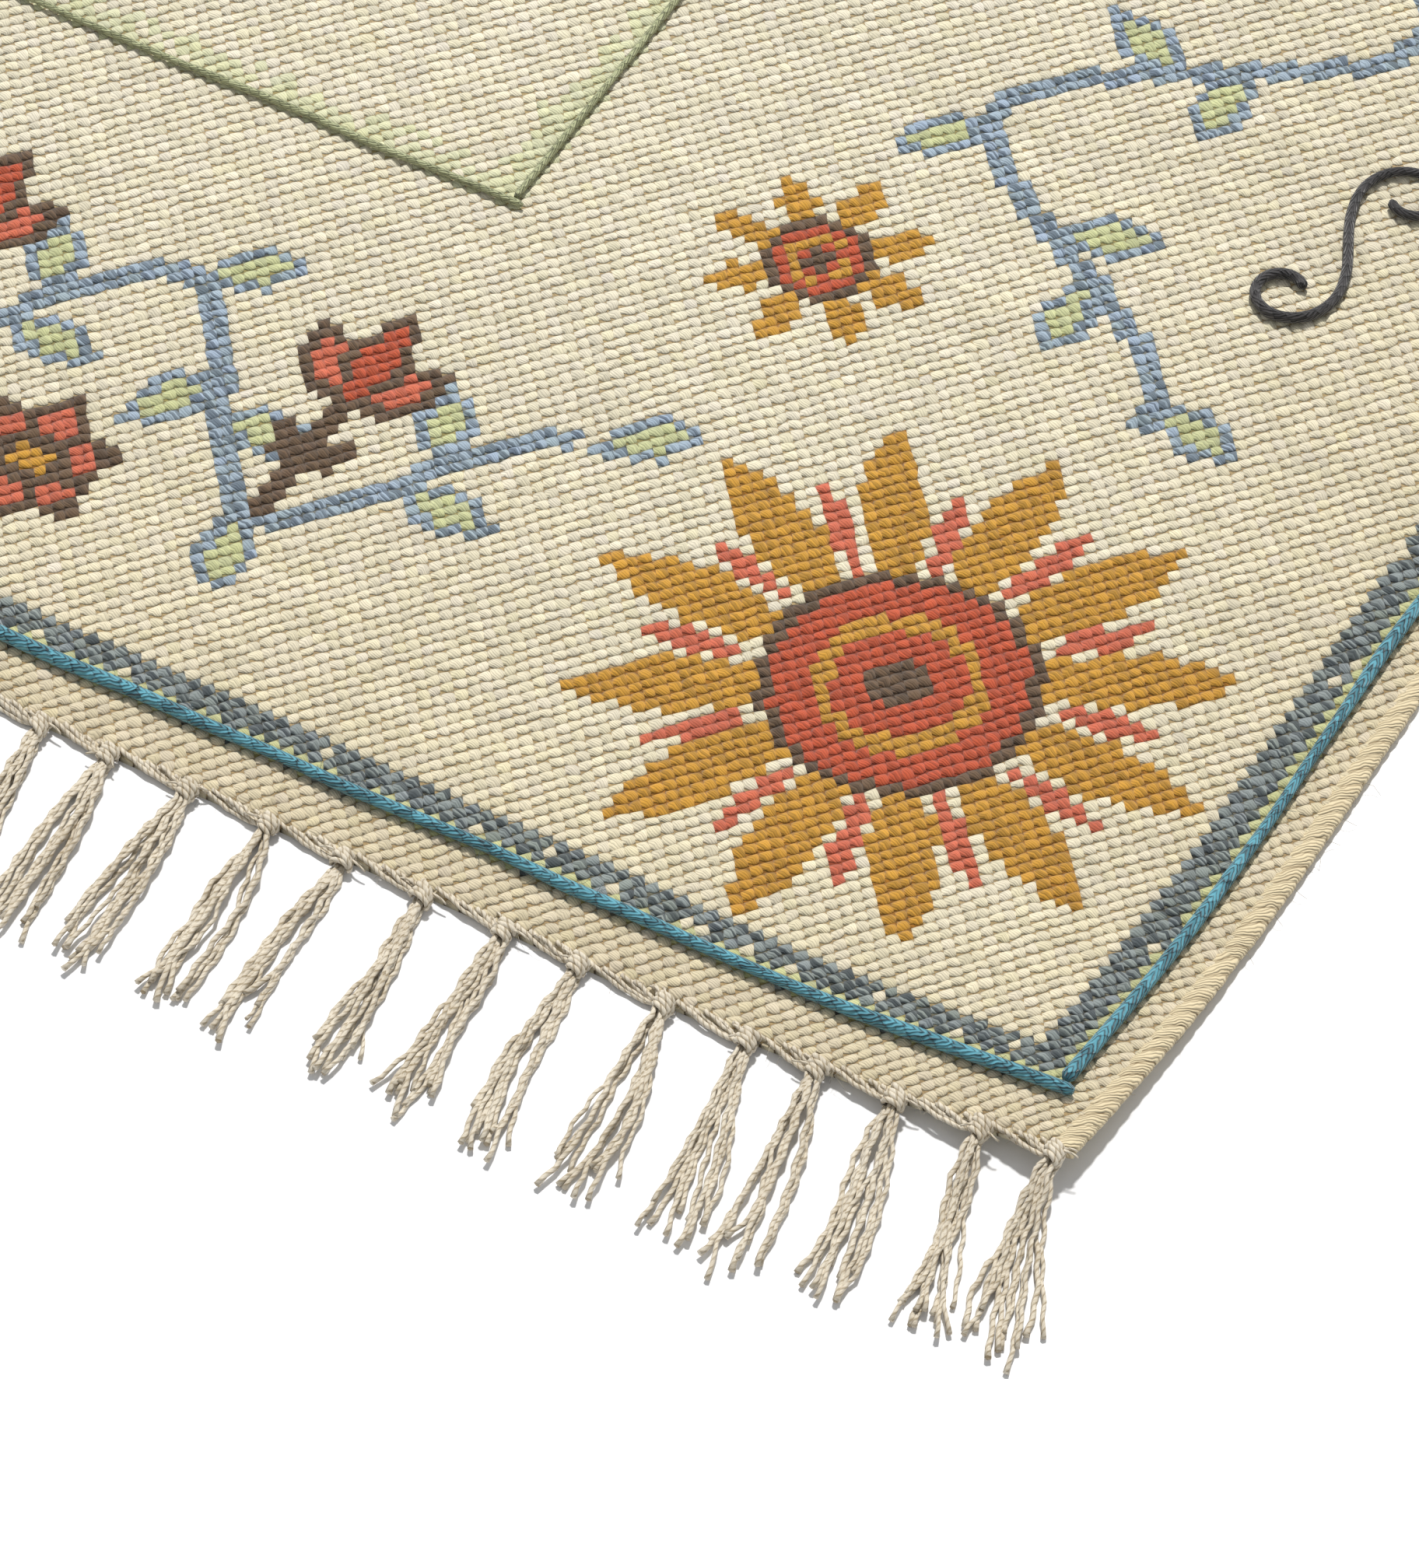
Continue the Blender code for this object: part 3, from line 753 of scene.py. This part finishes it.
def build_core(material):
    """The body of the cloth under its woven face, closed, with the back of the weave."""
    across, along = UNDERSIDE_CELLS
    i, j = np.meshgrid(np.linspace(-1, 1, across + 1), np.linspace(-1, 1, along + 1), indexing="ij")
    half_x, half_y = WIDTH / 2 - SIDE_MARGIN, LENGTH / 2
    layers = []
    for inset, rise in ((0.0, 0.0), (CORE_INSET, CORE_TOP)):
        x, y, height = settle(i * (half_x - inset), j * (half_y - inset))
        layers.append(np.stack([x, y, height + rise], -1).reshape(-1, 3))
    ci, cj = np.meshgrid(np.arange(across), np.arange(along), indexing="ij")
    near = (ci * (along + 1) + cj).ravel()
    top = np.stack([near, near + along + 1, near + along + 2, near + 1], -1) + len(layers[0])
    under = np.stack([near, near + 1, near + along + 2, near + along + 1], -1)
    rim = np.concatenate([
        np.arange(across + 1) * (along + 1),
        across * (along + 1) + np.arange(1, along + 1),
        np.arange(across - 1, -1, -1) * (along + 1) + along,
        np.arange(along - 1, 0, -1),
    ])
    nxt = np.roll(rim, -1)
    wall = np.stack([rim, nxt, nxt + len(layers[0]), rim + len(layers[0])], -1)
    faces = np.concatenate([under, top, wall])
    flat = np.stack([i * half_x / COLUMN, j * half_y / ROW], -1).reshape(-1, 2)
    flat = np.concatenate([flat, flat])
    return make_mesh("cloth_body", np.concatenate(layers), [faces], [flat[faces]], material)


def build_sides(material):
    """The overcast edge along each long side, one flat lump for each turn of the yarn."""
    pieces = []
    rings = int(LENGTH / BEAD_STEP)
    angle = math.tau * np.arange(BEAD_SIDES + 1) / BEAD_SIDES
    for name, side in (("overcast_left", -1), ("overcast_right", 1)):
        random = np.random.default_rng(SEED + 3 + side)
        y = np.linspace(-LENGTH / 2, LENGTH / 2, rings)
        x, moved_y, height = settle(np.full(rings, side * (WIDTH / 2 - BEAD_HALF[0])), y)
        path = np.stack([x, moved_y, height + BEAD_HALF[1]], -1)
        drift = np.interp(y, np.linspace(-LENGTH / 2, LENGTH / 2, 160), random.normal(size=160))
        wraps = y / BEAD_WRAP + 0.16 * drift
        ply = wraps[:, None] - side * BEAD_SLANT * np.cos(angle[None])
        lump = abs(np.cos(math.pi * ply[:, :BEAD_SIDES])) ** 0.7
        swell = 1 + 0.05 * drift[:, None] * np.ones(BEAD_SIDES)
        radius = swell + BEAD_RELIEF / BEAD_HALF[1] * (lump - 0.7)
        ring = np.stack([BEAD_HALF[0] * np.cos(angle), 0 * angle, BEAD_HALF[1] * np.sin(angle)], -1)
        points = path[:, None] + radius[..., None] * ring[None, :BEAD_SIDES]
        quads, near, far = tube_faces(1, rings, BEAD_SIDES)
        quads, near, far = quads[:, ::-1], near[:, ::-1], far[:, ::-1]
        turns = np.broadcast_to(angle[None] * BEAD_HALF[1] / MM, ply.shape)
        both = np.stack([ply, turns], -1)
        corners = np.stack([both[1:, :-1], both[1:, 1:], both[:-1, 1:], both[:-1, :-1]], -2)
        ends = [np.repeat(both[:1, :1], BEAD_SIDES, 1), np.repeat(both[-1:, :1], BEAD_SIDES, 1)]
        pieces.append(make_mesh(name, points, [quads, near, far], [corners, *ends], material))
    return pieces


def straight(start, end, step):
    """Evenly spaced x and y from start to end."""
    count = max(3, int(round(math.dist(start, end) / step)))
    share = np.linspace(0, 1, count)
    return start[0] + (end[0] - start[0]) * share, start[1] + (end[1] - start[1]) * share


def build_cord_run(name, x, y, cord, material, seed):
    """One run of laid cord that wanders and swells a little."""
    random = np.random.default_rng(SEED + seed)
    count = len(x)
    knots = max(4, int(count * cord["step"] / WANDER_LENGTH))
    at = np.linspace(0, knots - 1, count)
    wander = [np.interp(at, np.arange(knots), random.normal(size=knots)) for _ in range(3)]
    path = path_frame(x, y, cord["radius"])
    heading = np.gradient(path, axis=0)
    heading /= np.linalg.norm(heading, axis=1, keepdims=True)
    sideways = np.stack([-heading[:, 1], heading[:, 0], 0 * heading[:, 0]], -1)
    ease = np.sin(math.pi * np.linspace(0, 1, count)).clip(0, 0.3)[:, None] / 0.3
    path = path + sideways * (CORD_WANDER * wander[0].clip(-1.5, 1.5))[:, None] * ease
    path[:, 2] += 0.12 * MM * wander[2]
    radii = cord["radius"] * (1 + 0.09 * wander[1].clip(-1.5, 1.5))
    radii[[0, -1]] *= 0.55
    return make_tubes(name, path[None], radii[None], CORD_SIDES, 1, NO_TWIST, 0.0, material)


def build_frame(prefix, cord, material):
    """The four runs of a cord laid round a rectangle, in place of the solids of the same names."""
    half_x, half_y = WIDTH / 2 - cord["side"], LENGTH / 2 - cord["end"]
    stop = half_y - 1.6 * cord["radius"]
    over = cord["over"]
    runs = (
        ("front", (-half_x - over, -half_y), (half_x + over, -half_y)),
        ("back", (half_x + over, half_y), (-half_x - over, half_y)),
        ("right", (half_x, -stop), (half_x, stop)),
        ("left", (-half_x, stop), (-half_x, -stop)),
    )
    pieces = []
    for number, (label, start, end) in enumerate(runs):
        x, y = straight(start, end, cord["step"])
        name = f"{prefix}_{label}"
        piece = build_cord_run(f"laid_{name}", x, y, cord, material, 20 + number)
        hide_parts(name)
        pieces.append(piece)
    return pieces


def build_scrolls(material):
    """One double curl of black cord towards each corner."""
    growth = 1.0 / (SCROLL_END_BEND * SCROLL_HALF_LENGTH)
    step = SCROLL["step"]
    count = int(SCROLL_HALF_LENGTH / step)
    along = (np.arange(count) + 0.5) * step
    heading = growth * along**2 / 2
    arm = np.cumsum(np.stack([np.cos(heading), np.sin(heading)], -1) * step, axis=0)
    shape = np.concatenate([-arm[::-1], [[0.0, 0.0]], arm])
    cosine, sine = math.cos(SCROLL_TURN), math.sin(SCROLL_TURN)
    pieces = []
    for side_x in (-1, 1):
        for side_y in (-1, 1):
            number = len(pieces) + 1
            across = cosine * shape[:, 0] - sine * shape[:, 1] + SCROLL["side"]
            inward = sine * shape[:, 0] + cosine * shape[:, 1] + SCROLL["end"]
            x, y = side_x * (WIDTH / 2 - across), side_y * (LENGTH / 2 - inward)
            name = f"scroll_cord_{number}"
            piece = build_cord_run(f"laid_{name}", x, y, SCROLL, material, 40 + number)
            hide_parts(name)
            pieces.append(piece)
    return pieces


def tassel_places():
    """Where the tassels grow along an end, measured from its middle."""
    half = WIDTH / 2 - TASSEL_FROM_SIDE
    pitch = 2 * half / (TASSELS - 1)
    inner = [0 < k < TASSELS - 1 for k in range(TASSELS)]
    return np.array([-half + k * pitch + TASSEL_SHIFT * varied(k, 1) * inner[k] for k in range(TASSELS)])


def smooth(share):
    """Rises from 0 to 1 without a corner at either end."""
    share = np.clip(share, 0, 1)
    return share * share * (3 - 2 * share)


def build_gathers(name, end, material):
    """Warp ends that leave the cloth between the tassels and run beside its edge into a knot."""
    random = np.random.default_rng(SEED + 50 + end)
    places = tassel_places()
    starts = np.concatenate([[-WIDTH / 2 + 1 * MM], places[:-1] + 1.5 * MM])
    share = np.linspace(0, 1, GATHER_POINTS)
    paths = []
    for left, along in zip(starts, places):
        for number in range(GATHERED):
            stack = number / (GATHERED - 1)
            start = left + (along - left) * (0.72 * stack + 0.06 * random.random())
            run = start + (along - start) * share
            x, y, height = settle(-end * run, np.full(run.shape, end * LENGTH / 2))
            out = -1.6 * MM + (KNOT_OUT + 1.2 * MM) * smooth(share) + 0.5 * MM * random.normal()
            out = out + (1 - stack) * 1.5 * MM * np.sin(math.pi * share) + 0.25 * MM * np.sin(share * 19)
            rise = 3.6 * MM - 1.3 * MM * smooth(share) + 0.35 * MM * random.normal()
            rise = rise - 1.0 * MM * (1 - stack) * np.sin(math.pi * share)
            paths.append(np.stack([x, y + end * out, height + rise.clip(GATHER_RADIUS)], -1))
    swell = 1 + 0.08 * random.normal(size=(len(paths), 1))
    radii = np.full((len(paths), GATHER_POINTS), GATHER_RADIUS) * swell
    phase = random.random(len(paths))
    return make_tubes(name, paths, radii, GATHER_SIDES, 2, GATHER_TWIST, 0.1, material, phase)


def build_knots(name, end, material):
    """Each tassel's knot: side by side turns of the gathered warp ends, and frayed ends beside it."""
    paths, radii = [], []
    random = np.random.default_rng(SEED + 60 + end)
    share = np.linspace(0, 1, KNOT_POINTS)
    for along in tassel_places():
        x, y, height = settle(np.array(-end * along), np.array(end * LENGTH / 2))
        middle = np.array([x, y + end * KNOT_OUT, height + KNOT_RADIUS[1] + 0.9 * MM])
        for turn in range(KNOT_TURNS):
            place = turn / (KNOT_TURNS - 1) - 0.5
            angle = np.linspace(-0.42, math.pi + 0.42, KNOT_POINTS)
            size = 1 - 0.25 * abs(place) + 0.09 * random.normal()
            skew = (angle / math.pi - 0.5) * (2.6 + 1.3 * random.normal()) * MM
            path = middle + np.stack([
                np.cos(angle) * KNOT_RADIUS[0] * size,
                end * place * 5.0 * MM + skew,
                np.sin(angle) * KNOT_RADIUS[1] * size,
            ], -1)
            paths.append(path)
            radii.append(np.full(KNOT_POINTS, KNOT_STRAND) * (1 + 0.08 * random.normal()))
        for _ in range(TUFTS):
            heading = random.uniform(-0.9, 0.9) + (math.pi if random.random() < 0.5 else 0.0)
            length = TUFT_LENGTH * random.uniform(0.7, 1.2)
            bow = random.normal() * 1.5 * MM * np.sin(math.pi * share / 2)
            path = middle + np.stack([
                math.cos(heading) * length * share - math.sin(heading) * bow,
                -end * 1.0 * MM + math.sin(heading) * 0.5 * length * share + math.cos(heading) * bow,
                1.6 * MM * np.sin(math.pi * share * 0.9) + 0 * share,
            ], -1)
            paths.append(path)
            radii.append(TUFT_RADIUS * (1 - 0.45 * share))
    phase = random.random(len(paths))
    return make_tubes(name, paths, radii, KNOT_SIDES, 2, KNOT_TWIST, 0.12, material, phase)


def build_strands(name, end, material):
    """The loose strands of every tassel: crimped, in a few clumps, piled on each other and the floor."""
    random = np.random.default_rng(SEED + 80 + end)
    share = np.linspace(0, 1, STRAND_POINTS)
    paths, radii = [], []
    for index, along in enumerate(tassel_places()):
        x, y, height = settle(np.array(-end * along), np.array(end * LENGTH / 2))
        lean = TASSEL_LEAN + TASSEL_LEAN_CHANGE * varied(index, 2)
        lean += TASSEL_LEAN_WAVE * math.cos(math.tau * (along - WIDTH / 2) / TASSEL_LEAN_WAVE_LENGTH)
        start = y + end * (KNOT_OUT + 1.6 * MM)
        clumps = np.array(CLUMPS) + 0.16 * random.normal(size=len(CLUMPS))
        sways = 2.2 * MM * random.normal(size=len(CLUMPS))
        for number in range(STRANDS):
            clump = number * len(CLUMPS) // STRANDS
            fan = clumps[clump] + 0.17 * random.normal()
            layer = random.integers(0, 3)
            reach = STRAND_REACH + STRAND_REACH_CHANGE * random.normal() - REACH_PER_LIFT * height
            sideways = 2.0 * MM * fan * (1 - share) + (STRAND_SPREAD * fan + lean) * share**1.15
            sideways = sideways + sways[clump] * np.sin(math.pi * share)
            turns = random.uniform(0.5, 1.2)
            wave = random.normal() * 1.1 * MM * np.sin(math.tau * turns * share)
            phase = random.random() * 6
            crimp = CRIMP * np.sin(math.tau * share * reach / CRIMP_LENGTH + phase) * (1 - 0.5 * share)
            curl = random.normal() * 2.2 * MM * np.clip(share - 0.82, 0, 1) / 0.18
            drop = smooth(share / 0.42)
            rest = STRAND_RADIUS + layer * 1.45 * MM * (1 - 0.6 * share)
            top = height + 2.4 * MM + (layer - 1) * 1.1 * MM
            lift = abs(np.sin(share * 7 + phase)) * 0.9 * MM * drop
            z = top * (1 - drop) + (rest + lift) * drop + 0.5 * CRIMP * np.cos(share * 40 + phase)
            path = np.stack([
                x - end * (sideways + wave + crimp + curl),
                start + end * reach * share,
                np.maximum(z, STRAND_RADIUS),
            ], -1)
            paths.append(path)
            width = np.full(STRAND_POINTS, STRAND_RADIUS) * (1 + 0.10 * random.normal())
            width[-2:] *= (1.0, 1.25)
            radii.append(width)
    phase = random.random(len(paths))
    return make_tubes(name, paths, radii, STRAND_SIDES, 2, STRAND_TWIST, 0.1, material, phase)


def build_fringe(end, label, material):
    """One end's gathered warp ends, knots and strands."""
    pieces = [
        build_gathers(f"gathers_{label}", end, material),
        build_knots(f"knots_{label}", end, material),
        build_strands(f"strands_{label}", end, material),
    ]
    for piece in pieces:
        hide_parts(f"fringe_{label}")
    return pieces


def build_hairs(overcast, fringe, teal):
    """Stray fibres along the edges and the teal cord, one every few millimetres."""
    edge = (WIDTH / 2 - 1 * MM, LENGTH / 2 - 1 * MM)
    cord = (WIDTH / 2 - BORDER["side"], LENGTH / 2 - BORDER["end"])
    cord_top = THICKNESS + CORD_SEAT + 1.7 * BORDER["radius"]
    runs = {
        "front": ((-1, -1), (1, -1)),
        "back": ((-1, 1), (1, 1)),
        "left": ((-1, -1), (-1, 1)),
        "right": ((1, -1), (1, 1)),
    }
    share = np.linspace(0, 1, HAIR_POINTS)
    pieces = []
    for what, label, half, rise, node, slot, material in (
        ("side", "left", edge, SIDE_HAIR_RISE, "rug_cloth", "cream_cotton", overcast),
        ("side", "right", edge, SIDE_HAIR_RISE, "rug_cloth", "cream_cotton", overcast),
        ("end", "front", edge, END_HAIR_RISE, "fringe_front", "fringe_cotton", fringe),
        ("end", "back", edge, END_HAIR_RISE, "fringe_back", "fringe_cotton", fringe),
        ("cord", "front", cord, cord_top, "border_cord_front", "teal_yarn", teal),
        ("cord", "back", cord, cord_top, "border_cord_back", "teal_yarn", teal),
        ("cord", "left", cord, cord_top, "border_cord_left", "teal_yarn", teal),
        ("cord", "right", cord, cord_top, "border_cord_right", "teal_yarn", teal),
    ):
        random = np.random.default_rng(SEED + 100 + len(pieces))
        start, stop = [(way[0] * half[0], way[1] * half[1]) for way in runs[label]]
        x, y, height = settle(*straight(start, stop, HAIR_STEP))
        each = (len(x), 1)
        heading = random.uniform(0, math.tau, each) + 1.6 * random.normal(size=each) * share
        reach = random.uniform(*HAIR_LENGTHS, each) * share
        lift = HAIR_LIFT * random.random(each) * np.sin(math.pi * share) - HAIR_DROOP * share**2
        paths = np.stack([
            x[:, None] + reach * np.cos(heading),
            y[:, None] + reach * np.sin(heading),
            height[:, None] + rise + lift,
        ], -1)
        radii = np.broadcast_to(HAIR_RADIUS * (1 - 0.5 * share), (len(x), HAIR_POINTS))
        name = f"fibres_{what}_{label}"
        piece = make_tubes(name, paths, radii, HAIR_SIDES, 1, NO_TWIST, 0.0, material)
        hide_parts(node)
        pieces.append(piece)
    return pieces


def build_studio():
    """The floor, the light and the camera. Returns the floor."""
    bpy.ops.mesh.primitive_plane_add(size=FLOOR_SIZE)
    floor = bpy.context.active_object
    floor.name = "floor"
    paint = bpy.data.materials.new("floor_paint")
    paint.use_nodes = True
    shader = paint.node_tree.nodes["Principled BSDF"]
    shader.inputs["Base Color"].default_value = (0.93, 0.93, 0.94, 1.0)
    shader.inputs["Roughness"].default_value = 0.9
    shader.inputs["Specular IOR Level"].default_value = 0.1
    floor.data.materials.append(paint)

    world = bpy.data.worlds.new("studio")
    world.use_nodes = True
    background = world.node_tree.nodes["Background"]
    background.inputs[0].default_value = (0.95, 0.975, 1.0, 1.0)
    background.inputs[1].default_value = SKY_STRENGTH
    bpy.context.scene.world = world

    sun = bpy.data.lights.new("key", "SUN")
    sun.energy = SUN_STRENGTH
    sun.angle = SUN_ANGLE
    sun.color = (1.0, 0.985, 0.96)
    lamp = bpy.data.objects.new("key", sun)
    lamp.rotation_mode = "QUATERNION"
    lamp.rotation_quaternion = SUN_FROM.to_track_quat("Z", "Y")
    bpy.context.scene.collection.objects.link(lamp)

    camera_data = bpy.data.cameras.new("camera")
    camera_data.lens = LENS
    camera_data.sensor_width = SENSOR_WIDTH
    camera = bpy.data.objects.new("camera", camera_data)
    back = Vector((
        math.sin(VIEW_AZIMUTH) * math.cos(VIEW_ELEVATION),
        -math.cos(VIEW_AZIMUTH) * math.cos(VIEW_ELEVATION),
        math.sin(VIEW_ELEVATION),
    ))
    camera.location = VIEW_POINT + back * VIEW_DISTANCE
    camera.rotation_mode = "QUATERNION"
    camera.rotation_quaternion = back.to_track_quat("Z", "Y")
    camera_data.clip_end = 50
    bpy.context.scene.collection.objects.link(camera)
    bpy.context.scene.camera = camera
    bpy.context.scene.view_settings.view_transform = "Standard"
    return floor


def main():
    floor = build_studio()
    woven = woven_material()
    overcast = wrapped_material("overcast_cotton", (228, 212, 176), (132, 107, 72))
    fringe = plied_material("fringe_cotton", (234, 225, 207), (158, 141, 112), 1.2, 0.20, 0.14 * MM)
    teal = chained_material("teal_yarn", (98, 168, 186), (4, 34, 46), 0.3, 8.5, 0.75 * MM)
    green = chained_material("pale_green_yarn", (186, 190, 148), (104, 106, 74), 0.2, 4.0, 0.5 * MM)
    black = chained_material("black_yarn", (66, 63, 64), (10, 9, 10), 0.3, 5.0, 0.6 * MM)

    cloth = build_core(underside_material())
    on_cloth = build_weave(woven) + build_sides(overcast)
    for piece in [cloth] + on_cloth:
        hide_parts("rug_cloth")
    on_cloth += build_frame("border_cord", BORDER, teal)
    on_cloth += build_frame("panel_cord", PANEL, green)
    on_cloth += build_scrolls(black)
    on_cloth += build_fringe(-1, "front", fringe) + build_fringe(1, "back", fringe)
    on_cloth += build_hairs(overcast, fringe, teal)
    for piece in [cloth] + on_cloth:
        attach(piece, "root")


main()
